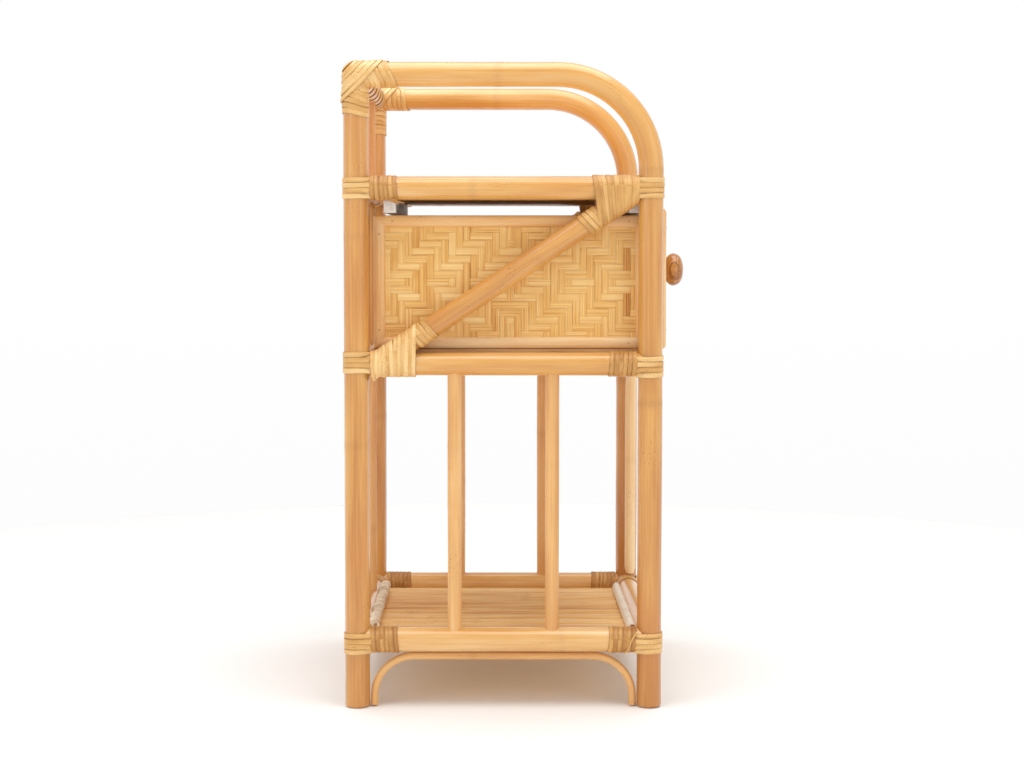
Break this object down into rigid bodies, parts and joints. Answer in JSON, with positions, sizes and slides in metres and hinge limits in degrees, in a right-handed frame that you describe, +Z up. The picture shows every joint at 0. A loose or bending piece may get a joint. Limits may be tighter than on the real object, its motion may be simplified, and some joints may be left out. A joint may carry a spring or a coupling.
{
  "type": "side table with drawer",
  "caption": "Rattan side table: bent top rails round an open top, a woven drawer with a round knob, diagonal side braces, an open bay and a low shelf of split poles.",
  "frame": {"origin": "on the floor, under the centre of the bounding box of the table with its drawer shut and its knob on", "axes": "+Z up; the drawer front and knob face -Y; X runs from side frame to side frame, and the table is the same on both sides of X = 0"},
  "size_m": [0.3386, 0.356, 0.646],
  "materials": {
    "rattan_pole": "smooth natural skin with a satin gloss",
    "slim_cane": "pale, rough, matte cane",
    "cane_lashing": "flat peeled cane strands, satin",
    "split_pole": "split poles, satin skin",
    "bamboo_weave": "twill-woven bamboo splits, satin",
    "raw_wood": "unfinished pale wood",
    "turned_wood": "turned, lightly varnished"
  },
  "bodies": {
    "frame": {"back_post_left": "rattan_pole", "bent_front_post_left": "rattan_pole", "table_rail_left": "rattan_pole", "drawer_rail_left": "rattan_pole", "shelf_rail_left": "rattan_pole", "brace_left": "rattan_pole", "side_spindle_back_left": "rattan_pole", "side_spindle_front_left": "rattan_pole", "foot_hoop_left": "slim_cane", "back_spindle_gallery_left": "rattan_pole", "back_spindle_bay_left": "rattan_pole", "back_spindle_low_left": "rattan_pole", "drawer_runner_left": "raw_wood", "lashing_corner_left": "cane_lashing", "lashing_table_back_left": "cane_lashing", "lashing_table_front_left": "cane_lashing", "lashing_drawer_back_left": "cane_lashing", "lashing_drawer_front_left": "cane_lashing", "lashing_shelf_back_left": "cane_lashing", "lashing_shelf_front_left": "cane_lashing", "back_post_right": "rattan_pole", "bent_front_post_right": "rattan_pole", "table_rail_right": "rattan_pole", "drawer_rail_right": "rattan_pole", "shelf_rail_right": "rattan_pole", "brace_right": "rattan_pole", "side_spindle_back_right": "rattan_pole", "side_spindle_front_right": "rattan_pole", "foot_hoop_right": "slim_cane", "back_spindle_gallery_right": "rattan_pole", "back_spindle_bay_right": "rattan_pole", "back_spindle_low_right": "rattan_pole", "drawer_runner_right": "raw_wood", "lashing_corner_right": "cane_lashing", "lashing_table_back_right": "cane_lashing", "lashing_table_front_right": "cane_lashing", "lashing_drawer_back_right": "cane_lashing", "lashing_drawer_front_right": "cane_lashing", "lashing_shelf_back_right": "cane_lashing", "lashing_shelf_front_right": "cane_lashing", "top_rail_back": "rattan_pole", "table_rail_back": "rattan_pole", "drawer_rail_back": "rattan_pole", "shelf_rail_back": "rattan_pole", "table_rail_front": "rattan_pole", "drawer_rail_front": "rattan_pole", "shelf_rail_front": "rattan_pole", "front_arch": "slim_cane", "bottom_shelf": "split_pole", "table_top": "split_pole", "shelf_edge_back": "slim_cane", "shelf_edge_front": "slim_cane", "top_bearer_back": "raw_wood", "top_bearer_front": "raw_wood"},
    "drawer": {"drawer_front": "bamboo_weave", "drawer_side_left": "bamboo_weave", "drawer_side_right": "bamboo_weave", "drawer_back": "bamboo_weave", "drawer_bottom": "raw_wood", "drawer_knob": "turned_wood"}
  },
  "joints": [
    {"name": "drawer_slide", "type": "slide", "parent": "frame", "child": "drawer", "axis": [0, -1, 0], "range_m": [0, 0.22]}
  ]
}
